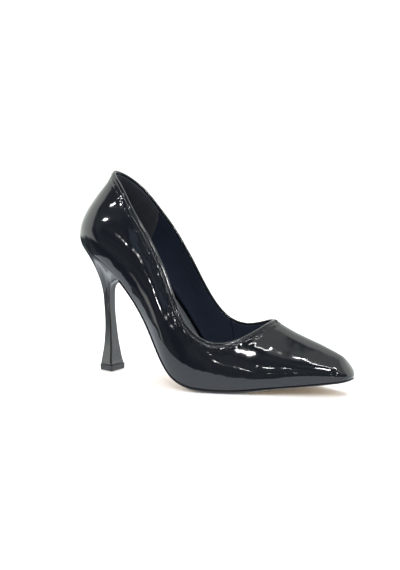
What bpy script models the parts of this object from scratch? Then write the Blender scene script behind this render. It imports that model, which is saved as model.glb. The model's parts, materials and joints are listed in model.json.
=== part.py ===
"""A high heel pump: a right shoe with a pointed toe and a slim waisted heel.

Built in millimetres on one last surface, then scaled to metres. X runs from heel to toe, the outer
(lateral) side of the foot is -Y, and the floor is Z = 0. The layers of the upper are offsets of the
last surface along its normal, and the layers of the bottom are offsets of the feather line surface.
"""
import math

import bpy
import numpy as np

# ---------------------------------------------------------------- driving dimensions, mm
ORIGIN_X, ORIGIN_Y = 86.28, -0.82        # row origin, measured from the centre of the heel seat
STATION_X = [-30, 0, 25, 50, 75, 100, 125, 150, 175, 205]
FEATHER_Z = [100.5, 93.5, 73.8, 45, 12.5, 3, 2.5, 5.3, 8.4, 13.5]     # where the wall meets the bottom
LATERAL_R = [24, 25.5, 26.5, 30.5, 39, 40, 34, 27, 18.5, 8]        # half widths at the feather line
MEDIAL_R = [24, 24, 23, 24.5, 26.5, 29.5, 32, 29, 20, 9.5]
RIDGE_Z = [240, 177, 184, 156, 113, 88.5, 63.5, 46.5, 36.5, 21.5]  # height that the walls close at
TOPLINE_X = [0, 10, 20, 30, 40, 60, 80, 100, 120]
TOPLINE_LATERAL = [161, 154, 144.5, 133, 120.5, 94, 60.5, 40.5, 38]
TOPLINE_MEDIAL = [161, 155, 146, 135.5, 123.5, 98, 60.5, 44.5, 47]
THROAT_X = 140.0
BACK_REACH, BACK_HALF = 8.0, 8.6      # the rounded back end of the topline, along and to each side
BACK_BELLY = 11.8                     # how far the back stands out behind its chord
WIDEN = {-1: (1.9, 14), 1: (3.8, 28)}  # extra half width at the back of the topline, and its reach
TOE_X, TOE_SWING, TOE_ROUND = 201.5, 12.5, 9.0
BACK_R = 27.5
LEAN_SIDE, LEAN_BACK, LEAN_FRONT = (1.42, -3.05), (1.55, -3.65), (0.19, -0.54)
LEAN_NOSE = (0.62, -0.8)

UPPER_T = 1.1
FILLER_LAYER = (-1.3, -1.7)
LINING_LAYER = (-1.9, -2.6)
LASTING_MARGIN = 11.0
OUTSOLE_T = 1.4
INSOLE_INSET = 3.4
GRIP_X, VAMP_SEAM_X = 31.0, 94.0      # fronts of the heel grip and of the quarter linings
SEAM_GAP = 0.3
BREAST_X = 20.3
TOP_PIECE_T = 4.7
HEEL_BASE_Z = 5.0
DOWEL_X = -7.0

# heel stem: height, breast x, breast half width, rear x, rear half width, corner radius
STEM = [
    (5, 0.4, 9.0, -12.8, 5.9, 1.2),
    (10, -0.4, 7.7, -12.3, 5.0, 1.2),
    (15, -0.9, 6.8, -11.6, 4.4, 1.2),
    (20, -1.4, 6.0, -11.0, 3.9, 1.2),
    (27, -2.2, 5.2, -10.4, 3.5, 1.1),
    (35, -2.8, 4.6, -10.1, 3.2, 1.1),
    (45, -3.7, 4.2, -10.4, 3.0, 1.1),
    (55, -4.4, 4.6, -11.1, 3.2, 1.2),
]
# how late each column of the heel swells from the stem to the seat, back centre to breast centre
SWELL = [1.75, 1.75, 1.8, 1.85, 1.95, 2.1, 2.3, 2.6, 2.9, 3.2, 3.8, 4.9, 6.0, 6.5, 6.8, 7.0]


# ---------------------------------------------------------------- curves and the last surface
def spline(xs, ys):
    """A cubic through the stations, with the first two and last two spans on one cubic each."""
    x, y = np.array(xs, float), np.array(ys, float)
    n, h = len(x), np.diff(x)
    a, b = np.zeros((n, n)), np.zeros(n)
    for i in range(1, n - 1):
        a[i, i - 1:i + 2] = h[i - 1], 2 * (h[i - 1] + h[i]), h[i]
        b[i] = 6 * ((y[i + 1] - y[i]) / h[i] - (y[i] - y[i - 1]) / h[i - 1])
    a[0, :3] = h[1], -(h[0] + h[1]), h[0]
    a[-1, -3:] = h[-1], -(h[-2] + h[-1]), h[-2]
    m = np.linalg.solve(a, b)

    def value(t):
        i = int(np.clip(np.searchsorted(x, t) - 1, 0, n - 2))
        p, q = x[i + 1] - t, t - x[i]
        return ((m[i] * p ** 3 + m[i + 1] * q ** 3) / (6 * h[i])
                + (y[i] / h[i] - m[i] * h[i] / 6) * p + (y[i + 1] / h[i] - m[i + 1] * h[i] / 6) * q)
    return value


def smooth(t):
    t = min(max(t, 0.0), 1.0)
    return t * t * (3 - 2 * t)


feather = spline(STATION_X, FEATHER_Z)
radius = {-1: spline(STATION_X, LATERAL_R), 1: spline(STATION_X, MEDIAL_R)}
ridge = spline(STATION_X, RIDGE_Z)
topline = {-1: spline(TOPLINE_X + [THROAT_X], TOPLINE_LATERAL + [ridge(THROAT_X)]),
           1: spline(TOPLINE_X + [THROAT_X], TOPLINE_MEDIAL + [ridge(THROAT_X)])}
NOSE_X = TOE_X - TOE_ROUND


def centre(x):
    return TOE_SWING * smooth((x - 60) / (TOE_X - 60))


def mix(p, q, w):
    return p[0] * (1 - w) + q[0] * w, p[1] * (1 - w) + q[1] * w


def bulge(u, lean):
    return math.sqrt(max(1 - u * u, 0.0)) * (1 + lean[0] * u + lean[1] * u * u)


def polar(a, across, along):
    return 1 / math.hypot(math.cos(a) / across, math.sin(a) / along)


def column(side, t, v):
    """A point of the side wall, v running from the feather line to the topline or the ridge."""
    x0 = min(t, 1.0) * NOSE_X
    lead = BACK_REACH * (1 - smooth(x0 / 50))
    x, low = x0 + lead * v, feather(x0)
    if x0 >= THROAT_X:
        u = share(t, v)
    else:
        z = low + (topline[side](x0 + lead) - low) * share(t, v)
        u = min((z - feather(x)) / (ridge(x) - feather(x)), 1.0)
    width, reach = WIDEN[side]
    extra = width * (1 - smooth((x0 + lead - BACK_REACH) / reach)) * v ** 3
    lean = mix(LEAN_SIDE, LEAN_FRONT, smooth(x / 110))
    lean = mix(lean, LEAN_NOSE, smooth((x0 - 135) / 55))
    if t <= 1:
        y = radius[side](x) * bulge(u, lean) + extra
        return np.array([x, centre(x) + side * y, feather(x) + (ridge(x) - feather(x)) * u])
    a = (t - 1) * math.pi / 2
    rad = polar(a, radius[side](NOSE_X), TOE_ROUND)
    r = rad * bulge(u, lean)
    x, low = NOSE_X + r * math.sin(a), feather(NOSE_X + rad * math.sin(a))
    return np.array([x, centre(NOSE_X) + side * r * math.cos(a), low + (ridge(x) - low) * u])


def back_column(side, t, v):
    """The same round the back, t from -1 at the centre to 0 at the side."""
    a, s = -t * math.pi / 2, 1 + t
    reach = BACK_REACH * s * s
    top = np.array([reach, side * BACK_HALF * s, topline[side](reach)])
    low = bottom(side, t, 0)
    end = np.array([BACK_REACH, side * BACK_HALF, topline[side](BACK_REACH)])
    foot = bottom(side, 0, 0)
    over = column(side, 0, v) - foot - (end - foot) * v
    belly = 4 * BACK_BELLY * v * (1 - v) * (1.21 - 0.89 * v)
    ca, sa = math.cos(a), math.sin(a)
    out = belly * sa * sa + side * over[1] * ca * ca
    return low + (top - low) * v + np.array([-sa * out + over[0] * ca * ca, side * ca * out, 0])


KNOTS = (-130, -110, -90, -70, -52, -32, -16, 0, 16, 32, 52, 70, 90, 110, 130)
rounds = {}


def around(v):
    """One smooth curve round the back at this row, through columns from both sides."""
    if v not in rounds:
        points = []
        for k in KNOTS:
            side = -1 if k < 0 else 1
            d = abs(k)
            points.append(back_column(side, d / 40 - 1, v) if d < 40
                          else column(side, (d - 40) / NOSE_X, v))
        rounds[v] = [spline(KNOTS, [p[i] for p in points]) for i in range(3)]
    return rounds[v]


def wall(side, t, v):
    """The last surface: t is -1 to 0 round the back, 0 to 1 along the side, 1 to 2 round the nose."""
    x0 = t * NOSE_X
    if x0 >= 70:
        return column(side, t, v)
    p = side * ((t + 1) * 40 if t < 0 else 40 + x0)
    curve = np.array([c(p) for c in around(v)])
    if x0 <= 50:
        return curve
    w = smooth((x0 - 50) / 20)
    return curve * (1 - w) + column(side, t, v) * w


def bottom(side, t, inset):
    """A point of the bottom surface, this far inside the feather line."""
    if t <= 0:
        a = -t * math.pi / 2
        r = polar(a, radius[side](0.0), BACK_R) - inset
        x, y = -r * math.sin(a), side * r * math.cos(a)
    elif t <= 1:
        x = t * NOSE_X
        y = centre(x) + side * (radius[side](x) - inset)
    else:
        a = (t - 1) * math.pi / 2
        r = polar(a, radius[side](NOSE_X), TOE_ROUND) - inset
        x, y = NOSE_X + r * math.sin(a), centre(NOSE_X) + side * r * math.cos(a)
    return np.array([x, y, feather(x)])


def feather_radius(side, t):
    if t <= 0:
        return polar(-t * math.pi / 2, radius[side](0.0), BACK_R)
    if t <= 1:
        return radius[side](t * NOSE_X)
    return polar((t - 1) * math.pi / 2, radius[side](NOSE_X), TOE_ROUND)


def margin(side, t):
    return min(LASTING_MARGIN, 0.55 * feather_radius(side, t))


def down(x):
    """The bottom surface's outward normal."""
    n = np.array([feather(x + 0.01) - feather(x - 0.01), 0.0, -0.02])
    return n / np.linalg.norm(n)


def wall_normal(side, t, v):
    e = 1e-4
    dt = wall(side, min(t + e, 2.0), v) - wall(side, max(t - e, -1.0), v)
    dv = wall(side, t, min(v + e, 1.0)) - wall(side, t, max(v - e, 0.0))
    if t > 1 and v > 0.999:
        return wall_normal(side, 1.0, v)
    n = -side * np.cross(dt, dv)
    return n / np.linalg.norm(n)


def share(t, v):
    """Row v as a share of the wall's height: even at the back, evenly turned over the vamp."""
    q = smooth((t * NOSE_X - 90) / (THROAT_X - 90))
    return v * (1 - q) + math.sin(v * math.pi / 2) * q


def skin_point(side, t, v):
    """Point and normal: v above 0 is the wall, 0 the feather edge, below 0 the lasting margin."""
    if v < 0:
        p = bottom(side, t, -v * margin(side, t))
        return p, down(p[0])
    p, n = wall(side, t, v), wall_normal(side, t, v)
    if v == 0:
        d = down(p[0])
        n = (n + d) / (1 + float(n @ d))
    return p, n


# ---------------------------------------------------------------- meshes
def straight(*xs):
    return [x / NOSE_X for x in xs]


BACK = [-1 + i / 8 for i in range(9)]
SEAM = SEAM_GAP / 2
COLUMNS = (BACK + straight(6, 12, 17, BREAST_X, BREAST_X + SEAM_GAP, GRIP_X - SEAM, GRIP_X + SEAM, 42,
                           53, 64, 75, 85, VAMP_SEAM_X - SEAM, VAMP_SEAM_X + SEAM, 103, 112, 120,
                           127, 132.5, 136.5, 139, THROAT_X, 142, 146, 153, 161, 170, 179, 187)
           + [1 + i / 6 for i in range(7)])
WALL_ROWS = [0, 0.1, 0.24, 0.4, 0.56, 0.72, 0.84, 0.93, 1]
PLATE_ROWS = [0, 0.12, 0.3, 0.5, 0.7, 0.88, 1]


def between(low, high):
    """The shared columns from one X to another, so that neighbouring layers stay parallel."""
    return [t for t in COLUMNS if low - 1e-6 <= t * NOSE_X <= high + 1e-6]


def signed_volume(points, faces):
    p = np.array(points)[np.array(faces)]
    return float(np.einsum("ij,ij->i", p[:, 0], np.cross(p[:, 1], p[:, 2])).sum())


def make_object(name, points, faces):
    if signed_volume(points, faces) < 0:
        faces = [tuple(reversed(f)) for f in faces]
    mesh = bpy.data.meshes.new(name)
    scaled = [((p[0] - ORIGIN_X) / 1000, (p[1] - ORIGIN_Y) / 1000, p[2] / 1000) for p in points]
    mesh.from_pydata(scaled, [], faces)
    mesh.validate()
    obj = bpy.data.objects.new(name, mesh)
    bpy.context.scene.collection.objects.link(obj)
    return obj


def welded(first, second, faces):
    """Pairs that stand on the same spot become one, and faces that collapse are dropped."""
    seen, index = {}, []
    for p, q in zip(first, second):
        key = tuple(np.round(np.concatenate([p, q]), 4))
        index.append(seen.setdefault(key, len(seen)))
    keep = sorted(range(len(index)), key=lambda i: index[i])
    picked = {index[i]: i for i in reversed(keep)}
    a = [first[picked[k]] for k in range(len(seen))]
    b = [second[picked[k]] for k in range(len(seen))]
    out = [tuple(index[i] for i in f) for f in faces]
    return a, b, [f for f in out if len(set(f)) == 3]


def closed_layer(name, first, second, faces):
    """Two matching open surfaces joined round their edges into one closed body."""
    a, b, tris = welded(first, second, faces)
    n, edges = len(a), {}
    for f in tris:
        for i in range(3):
            edges[(f[i], f[(i + 1) % 3])] = True
    out = list(tris) + [(f[2] + n, f[1] + n, f[0] + n) for f in tris]
    for i, j in edges:
        if (j, i) not in edges:
            out += [(j, i, i + n), (j, i + n, j + n)]
    return make_object(name, a + b, out)


def grid_faces(rows, columns, start, turn):
    out = []
    for i in range(columns - 1):
        for j in range(rows - 1):
            k = start + i * rows + j
            a, b, c, d = k, k + rows, k + rows + 1, k + 1
            out += [(a, b, c), (a, c, d)] if turn else [(c, b, a), (d, c, a)]
    return out


def skin(name, columns, rows, layer, sides=(-1, 1)):
    """A piece of the upper or of its lining, between two offsets from the last surface."""
    outer, inner, faces = [], [], []
    for side in sides:
        faces += grid_faces(len(rows), len(columns), len(outer), side < 0)
        for t in columns:
            for v in rows:
                p, n = skin_point(side, t, v)
                if v == 1 and t * NOSE_X >= THROAT_X - 1e-6 or t in (-1, 2):
                    p, n = [(a + b) / 2 for a, b in zip((p, n), skin_point(-side, t, v))]
                outer.append(p + n * layer[0])
                inner.append(p + n * layer[1])
    return closed_layer(name, outer, inner, faces)


def plate_layer(columns, inset, height, floor=None):
    points = []
    for t in columns:
        ends = [bottom(side, t, inset(side, t)) for side in (-1, 1)]
        for f in PLATE_ROWS:
            p = ends[0] + (ends[1] - ends[0]) * f
            p[2] = feather(p[0])
            p = p - down(p[0]) * height(p[0])
            if floor is not None:
                p[2] = max(p[2], floor)
            points.append(p)
    return points


def plate(name, columns, inset, low, high, low_inset=None, floor=None):
    """A layer of the bottom, between two heights above the feather line surface."""
    def fixed(value):
        return value if callable(value) else (lambda *_: value)
    top = plate_layer(columns, fixed(inset), fixed(high))
    under = plate_layer(columns, fixed(inset if low_inset is None else low_inset), fixed(low), floor)
    return closed_layer(name, top, under, grid_faces(len(PLATE_ROWS), len(columns), 0, True))


def lathe(name, origin, axis, profile, steps=16, ring=False):
    """A turned piece: profile lists (distance along the axis, radius)."""
    axis = np.array(axis, float) / np.linalg.norm(axis)
    side = np.cross(axis, [0.3, 0.9, 0.2])
    side /= np.linalg.norm(side)
    other = np.cross(axis, side)
    points, faces, rows = [], [], len(profile)
    for i in range(steps):
        a = 2 * math.pi * i / steps
        for d, r in profile:
            points.append(np.array(origin) + axis * d + (side * math.cos(a) + other * math.sin(a)) * r)
    spans = rows if ring else rows - 1
    for i in range(steps):
        for j in range(spans):
            a, d = i * rows + j, i * rows + (j + 1) % rows
            b, c = (i + 1) % steps * rows + j, (i + 1) % steps * rows + (j + 1) % rows
            faces += [(a, b, c), (a, c, d)]
    if not ring:
        for j in (0, rows - 1):
            points.append(np.array(origin) + axis * profile[j][0])
            k = len(points) - 1
            loop = [i * rows + j for i in range(steps)]
            pairs = zip(loop, loop[1:] + loop[:1])
            faces += [(k, q, p) if j == 0 else (k, p, q) for p, q in pairs]
    return make_object(name, points, faces)


# ---------------------------------------------------------------- the upper and its layers
def make_upper():
    skin("upper", COLUMNS, [-1, -0.45] + WALL_ROWS, (0, -UPPER_T))
    skin("topline_tape", between(-999, 146), WALL_ROWS[-2:], FILLER_LAYER)
    skin("heel_counter", between(-999, GRIP_X - SEAM), WALL_ROWS[1:7], FILLER_LAYER)
    skin("toe_puff", [t for t in COLUMNS if t * NOSE_X > 160], WALL_ROWS[1:], FILLER_LAYER)


def make_linings():
    rows = WALL_ROWS[1:]
    middle = between(GRIP_X + SEAM, VAMP_SEAM_X - SEAM)
    skin("heel_grip_lining", between(-999, GRIP_X - SEAM), rows, LINING_LAYER)
    skin("quarter_lining_lateral", middle, rows, LINING_LAYER, (-1,))
    skin("quarter_lining_medial", middle, rows, LINING_LAYER, (1,))
    skin("vamp_lining", [t for t in COLUMNS if t * NOSE_X > VAMP_SEAM_X], rows, LINING_LAYER)


# ---------------------------------------------------------------- the bottom
def pad_lift(x):
    """How far the sock lining rises over the heel pad and the ball pad."""
    return max(2.0 * smooth((38 - x) / 7), 1.4 * smooth((x - 74) / 8) * smooth((150 - x) / 8))


def tread(x):
    """The outsole's thickness: thicker under the ball, where the floor trims it flat."""
    return OUTSOLE_T + 1.1 * smooth((x - 84) / 16) * smooth((150 - x) / 22)


def make_bottom():
    inset = INSOLE_INSET
    heads = (1.3, 2.2)
    plate("outsole", between(BREAST_X + SEAM_GAP, 999), -0.3, lambda x: -0.2 - tread(x), -0.2, 0.1, 0.0)
    plate("bottom_filler", between(85, 187), lambda s, t: margin(s, t) + 0.5, 0.1, 0.9)
    plate("shank_board", between(-999, 103), inset, *heads)
    plate("insole_board", COLUMNS, inset, 2.4, 3.2)
    plate("heel_pad_foam", between(-999, GRIP_X - SEAM), inset + 4, 4.1, 5.2)
    plate("ball_pad_foam", between(85, 140), inset + 4, 3.5, 4.6)
    plate("sock_lining", COLUMNS, inset + 0.3, lambda x: 3.45 + pad_lift(x), lambda x: 4.15 + pad_lift(x))


def make_shank():
    """The spring steel strip under the shank board, from the seat to behind the ball."""
    xs = [t * NOSE_X for t in between(-1, 85)]
    xs = [-12.0, -7.0] + xs
    low, high = [], []
    for x in xs:
        half = 4.5 - 1.5 * smooth((x - 60) / 25)
        for f in (-1, 0, 1):
            p = np.array([x, centre(x) + f * half, feather(x)])
            low.append(p - down(x) * 0.15)
            high.append(p - down(x) * 0.95)
    return closed_layer("steel_shank", high, low, grid_faces(3, len(xs), 0, True))


# ---------------------------------------------------------------- the heel
def corner(cx, cy, r, a):
    return cx + r * math.cos(math.radians(a)), cy + r * math.sin(math.radians(a))


def stem_half(z):
    """Half of the four-sided section at this height, back centre to breast centre, on -Y."""
    cols = list(zip(*STEM))
    xf, wb, xb, wr, r = [spline(cols[0], c)(z) for c in cols[1:]]
    rear, front = (xb + r, -wr + r), (xf - r, -wb + r)
    out = [(xb, 0), (xb, rear[1] / 2), (xb, rear[1])]
    out += [corner(*rear, r, a) for a in (-150, -120, -90)]
    start, end = np.array(out[-1]), np.array(corner(*front, r, -90))
    out += [tuple(start + (end - start) * f) for f in (0.2, 0.4, 0.6, 0.8)]
    out += [corner(*front, r, a) for a in (-90, -45, 0)]
    out += [(xf, front[1] * 0.66), (xf, front[1] * 0.33), (xf, 0)]
    return out


def seat_half(side):
    """Half of the seat's edge, back centre to breast centre."""
    out = []
    for t in BACK + straight(6, 12, 17, BREAST_X):
        p = bottom(side, t, 0.1 + 0.5 * smooth((t * NOSE_X - 10) / 10))
        out.append(p)
    last = out[-1]
    for f in (0.66, 0.33, 0.0):
        out.append(np.array([last[0], last[1] * f, last[2]]))
    return [p + down(p[0]) * 0.3 for p in out]


def heel_column(side, k, top):
    points = []
    for z in (HEEL_BASE_Z, 8, 12, 16, 21, 28, 36, 45, 55):
        x, y = stem_half(z)[k]
        points.append(np.array([x, -side * y, z]))
    base = points[-1]
    for w in (0.2, 0.36, 0.5, 0.62, 0.72, 0.8, 0.87, 0.93, 0.97, 1.0):
        p = base + (top - base) * w ** SWELL[k]
        points.append(np.array([p[0], p[1], base[2] + (top[2] - base[2]) * w]))
    return points


def heel_loop():
    """Every column of the heel, once round it."""
    halves = {s: [heel_column(s, k, p) for k, p in enumerate(seat_half(s))] for s in (-1, 1)}
    return halves[-1] + list(reversed(halves[1][1:-1]))


def seat_cap(n, rows):
    """The seat in strips across the heel, and a fan along the breast."""
    top, half = rows - 1, n // 2
    last = half - 4
    left = [i * rows + top for i in range(half + 1)]
    right = [(-i % n) * rows + top for i in range(half + 1)]
    faces = []
    for i in range(last):
        faces += [(left[i], left[i + 1], right[i + 1]), (left[i], right[i + 1], right[i])]
    front = left[last + 1:] + right[last:half][::-1]
    faces += [(left[last], p, q) for p, q in zip(front, front[1:])]
    return [f for f in faces if len(set(f)) == 3]


def make_heel_block():
    loop = heel_loop()
    n, rows = len(loop), len(loop[0])
    points = [p for column in loop for p in column]
    faces = []
    for i in range(n):
        for j in range(rows - 1):
            a, d = i * rows + j, i * rows + j + 1
            b, c = (i + 1) % n * rows + j, (i + 1) % n * rows + j + 1
            faces += [(a, b, c), (a, c, d)]
    points.append(np.array([-6.0, 0.0, HEEL_BASE_Z]))
    under = [i * rows for i in range(n)]
    faces += [(len(points) - 1, q, p) for p, q in zip(under, under[1:] + under[:1])]
    faces += seat_cap(n, rows)
    return make_object("heel_block", points, faces)


def make_top_piece():
    """The wear piece under the heel, a little larger than the stem it is pinned to."""
    low, high = [], []
    half = [(-13.3, 0), (-13.3, -5.2), (-12.9, -5.9), (-12.2, -6.2), (-4, -8.2), (0.2, -9.3),
            (0.8, -9.0), (1.1, -8.2), (1.1, 0)]
    ring = half + [(x, -y) for x, y in reversed(half[1:-1])]
    for x, y in ring:
        low.append(np.array([-6.1 + (x + 6.1) * 0.985, y * 0.985, 0.0]))
        high.append(np.array([x, y, TOP_PIECE_T]))
    mid = len(ring)
    low.append(np.array([-6.0, 0.0, 0.0]))
    high.append(np.array([-6.0, 0.0, TOP_PIECE_T]))
    faces = [(i, (i + 1) % mid, mid) for i in range(mid)]
    return closed_layer("top_piece", high, low, faces)


# ---------------------------------------------------------------- fixings and their holes
NAIL_SPOTS = [(-6, -8.5), (-6, 8.5), (5, -8.5), (5, 8.5)]
SCREW_SPOT = (-2.0, 0.0)
RIVET_SPOTS = {"shank_rivet_rear": (12.0, 0.0), "shank_rivet_front": (75.0, 0.0)}


def seat_spot(x, y):
    return np.array([x, centre(x) + y, feather(x)]), -down(x)


def make_fixings():
    for i, (x, y) in enumerate(NAIL_SPOTS, 1):
        p, up = seat_spot(x, y)
        lathe(f"heel_nail_{i}", p, up,
              [(-10, 0.3), (-8.5, 0.9), (3.4, 0.9), (3.4, 1.9), (3.9, 1.9)], 12)
    p, up = seat_spot(*SCREW_SPOT)
    lathe("heel_screw", p, up, [(-14, 0.5), (-11, 1.6), (3.4, 1.6), (3.4, 3.4), (3.9, 3.4)], 16)
    for name, (x, y) in RIVET_SPOTS.items():
        p, up = seat_spot(x, y)
        lathe(name, p, up, [(0.0, 1.5), (2.25, 1.5)], 16)
    foot = (DOWEL_X, 0, 0)
    lathe("heel_dowel", foot, (0, 0, 1), [(5.6, 1.1), (5.6, 1.7), (64, 1.7), (64, 1.1)], 16, True)
    lathe("top_piece_pin", foot, (0, 0, 1), [(1.6, 1.9), (2.5, 1.9), (2.5, 0.85), (16, 0.85)], 16)


def cutter(name, origin, axis, low, high, r, steps=16):
    obj = lathe(name, origin, axis, [(low, r), (high, r)], steps)
    obj.hide_render = True
    obj.display_type = "WIRE"
    return obj


def drill(target, cutters):
    for c in cutters:
        modifier = target.modifiers.new(c.name, "BOOLEAN")
        modifier.operation = "DIFFERENCE"
        modifier.solver = "EXACT"
        modifier.object = c


def drill_all(block, top_piece):
    boards = [bpy.data.objects[n] for n in ("insole_board", "shank_board")]
    shank = bpy.data.objects["steel_shank"]
    nails, blind = [], []
    for i, (x, y) in enumerate(NAIL_SPOTS, 1):
        p, up = seat_spot(x, y)
        nails.append(cutter(f"cut_nail_{i}", p, up, -11, 5, 1.2, 12))
    p, up = seat_spot(*SCREW_SPOT)
    screw = cutter("cut_screw", p, up, -15, 5, 1.9)
    rivets = [cutter(f"cut_{n}", *seat_spot(*s), -1, 3, 1.8) for n, s in RIVET_SPOTS.items()]
    dowel = cutter("cut_dowel", (DOWEL_X, 0, 0), (0, 0, 1), 1, 65, 2.0)
    pin = cutter("cut_pin", (DOWEL_X, 0, 0), (0, 0, 1), 1.3, 9, 2.2)
    drill(block, nails + [screw, dowel])
    drill(top_piece, [pin])
    drill(boards[0], nails + [screw])
    drill(boards[1], nails + [screw] + rivets)
    drill(shank, [screw] + rivets)


# ---------------------------------------------------------------- materials
LOOKS = {
    "upper": (0.012, 0.013, 0.018, 0.12, 0), "linings": (0.02, 0.022, 0.03, 0.6, 0),
    "heel_grip_lining": (0.035, 0.037, 0.045, 0.8, 0), "topline_tape": (0.75, 0.73, 0.68, 0.8, 0),
    "heel_counter": (0.55, 0.47, 0.36, 0.8, 0), "toe_puff": (0.7, 0.66, 0.58, 0.8, 0),
    "insole_board": (0.52, 0.42, 0.3, 0.85, 0), "shank_board": (0.36, 0.25, 0.16, 0.85, 0),
    "steel_shank": (0.42, 0.44, 0.47, 0.35, 1), "bottom_filler": (0.3, 0.28, 0.25, 0.9, 0),
    "sock_lining": (0.16, 0.17, 0.19, 0.7, 0), "heel_pad_foam": (0.85, 0.82, 0.7, 0.9, 0),
    "ball_pad_foam": (0.85, 0.82, 0.7, 0.9, 0), "outsole": (0.45, 0.3, 0.18, 0.55, 0),
    "heel_block": (0.02, 0.021, 0.025, 0.15, 0), "top_piece": (0.02, 0.02, 0.02, 0.6, 0),
    "steel": (0.6, 0.61, 0.63, 0.3, 1), "brass": (0.7, 0.55, 0.25, 0.35, 1),
}
SHARED = {"lining": "linings", "nail": "steel", "screw": "steel", "dowel": "steel",
          "pin": "steel", "rivet": "brass"}


def look_of(name):
    if name in LOOKS:
        return LOOKS[name]
    return next(LOOKS[look] for part, look in SHARED.items() if part in name)


def dress(obj):
    r, g, b, rough, metal = look_of(obj.name)
    material = bpy.data.materials.new(obj.name)
    material.use_nodes = True
    shader = material.node_tree.nodes["Principled BSDF"]
    shader.inputs["Base Color"].default_value = (r, g, b, 1)
    shader.inputs["Roughness"].default_value = rough
    shader.inputs["Metallic"].default_value = metal
    material.diffuse_color = (r, g, b, 1)
    obj.data.materials.append(material)


def main():
    for obj in list(bpy.data.objects):
        bpy.data.objects.remove(obj, do_unlink=True)
    make_upper()
    make_linings()
    make_bottom()
    make_shank()
    block = make_heel_block()
    top_piece = make_top_piece()
    make_fixings()
    drill_all(block, top_piece)
    for obj in bpy.data.objects:
        if not obj.hide_render:
            dress(obj)


main()
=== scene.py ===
import json
import math

import bpy
import numpy as np
from mathutils import Matrix, Vector, kdtree, noise
from mathutils.bvhtree import BVHTree


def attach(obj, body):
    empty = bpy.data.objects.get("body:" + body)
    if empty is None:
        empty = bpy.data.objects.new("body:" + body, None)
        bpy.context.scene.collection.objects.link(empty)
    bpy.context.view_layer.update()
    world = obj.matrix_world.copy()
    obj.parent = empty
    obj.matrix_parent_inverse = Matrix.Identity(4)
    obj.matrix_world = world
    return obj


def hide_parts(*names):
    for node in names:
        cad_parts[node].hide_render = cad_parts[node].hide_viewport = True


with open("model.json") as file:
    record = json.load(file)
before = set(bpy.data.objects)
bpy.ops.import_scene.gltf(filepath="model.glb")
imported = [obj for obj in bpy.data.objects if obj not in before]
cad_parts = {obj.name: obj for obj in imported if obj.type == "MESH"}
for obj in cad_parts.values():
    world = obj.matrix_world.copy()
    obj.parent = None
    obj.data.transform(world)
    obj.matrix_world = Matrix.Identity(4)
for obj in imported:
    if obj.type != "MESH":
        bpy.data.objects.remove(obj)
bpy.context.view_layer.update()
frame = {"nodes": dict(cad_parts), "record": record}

MM = 0.001

# ---------------------------------------------------------------- the shoe's dimensions, mm
ORIGIN_X, ORIGIN_Y = 86.28, -0.82
STATION_X = [-30, 0, 25, 50, 75, 100, 125, 150, 175, 205]
FEATHER_Z = [100.5, 93.5, 73.8, 45, 12.5, 3, 2.5, 5.3, 8.4, 13.5]
LATERAL_R = [24, 25.5, 26.5, 30.5, 39, 40, 34, 27, 18.5, 8]
MEDIAL_R = [24, 24, 23, 24.5, 26.5, 29.5, 32, 29, 20, 9.5]
RIDGE_Z = [240, 177, 184, 156, 113, 88.5, 63.5, 46.5, 36.5, 21.5]
TOPLINE_X = [0, 10, 20, 30, 40, 60, 80, 100, 120]
TOPLINE_LATERAL = [161, 154, 144.5, 133, 120.5, 94, 60.5, 40.5, 38]
TOPLINE_MEDIAL = [161, 155, 146, 135.5, 123.5, 98, 60.5, 44.5, 47]
THROAT_X = 140.0
BACK_REACH, BACK_HALF, BACK_BELLY, BACK_R = 8.0, 8.6, 11.8, 27.5
WIDEN = {-1: (1.9, 14), 1: (3.8, 28)}
TOE_X, TOE_SWING, TOE_ROUND = 201.5, 12.5, 9.0
LEAN_SIDE, LEAN_FRONT = (1.42, -3.05), (0.19, -0.54)
LEAN_NOSE = (0.62, -0.8)
NOSE_X = TOE_X - TOE_ROUND
THROAT_T = THROAT_X / NOSE_X
BREAST_X = 20.3


# ---------------------------------------------------------------- curves and the last surface
def spline(xs, ys):
    """A cubic through the stations, the first two and the last two spans on one cubic each."""
    x, y = np.array(xs, float), np.array(ys, float)
    n, h = len(x), np.diff(x)
    a, b = np.zeros((n, n)), np.zeros(n)
    for i in range(1, n - 1):
        a[i, i - 1:i + 2] = h[i - 1], 2 * (h[i - 1] + h[i]), h[i]
        b[i] = 6 * ((y[i + 1] - y[i]) / h[i] - (y[i] - y[i - 1]) / h[i - 1])
    a[0, :3] = h[1], -(h[0] + h[1]), h[0]
    a[-1, -3:] = h[-1], -(h[-2] + h[-1]), h[-2]
    m = np.linalg.solve(a, b)

    def value(t):
        t = np.asarray(t, float)
        i = np.clip(np.searchsorted(x, t) - 1, 0, n - 2)
        p, q, hi = x[i + 1] - t, t - x[i], h[i]
        return ((m[i] * p ** 3 + m[i + 1] * q ** 3) / (6 * hi)
                + (y[i] / hi - m[i] * hi / 6) * p + (y[i + 1] / hi - m[i + 1] * hi / 6) * q)
    return value


def smooth(t):
    t = np.clip(t, 0.0, 1.0)
    return t * t * (3 - 2 * t)


feather = spline(STATION_X, FEATHER_Z)
radius = {-1: spline(STATION_X, LATERAL_R), 1: spline(STATION_X, MEDIAL_R)}
ridge = spline(STATION_X, RIDGE_Z)
topline = {-1: spline(TOPLINE_X + [THROAT_X], TOPLINE_LATERAL + [float(ridge(THROAT_X))]),
           1: spline(TOPLINE_X + [THROAT_X], TOPLINE_MEDIAL + [float(ridge(THROAT_X))])}


def centre(x):
    return TOE_SWING * smooth((x - 60) / (TOE_X - 60))


def bulge(u, k, m):
    return np.sqrt(np.maximum(1 - u * u, 0.0)) * (1 + k * u + m * u * u)


def polar(a, across, along):
    return 1 / np.hypot(np.cos(a) / across, np.sin(a) / along)


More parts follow.
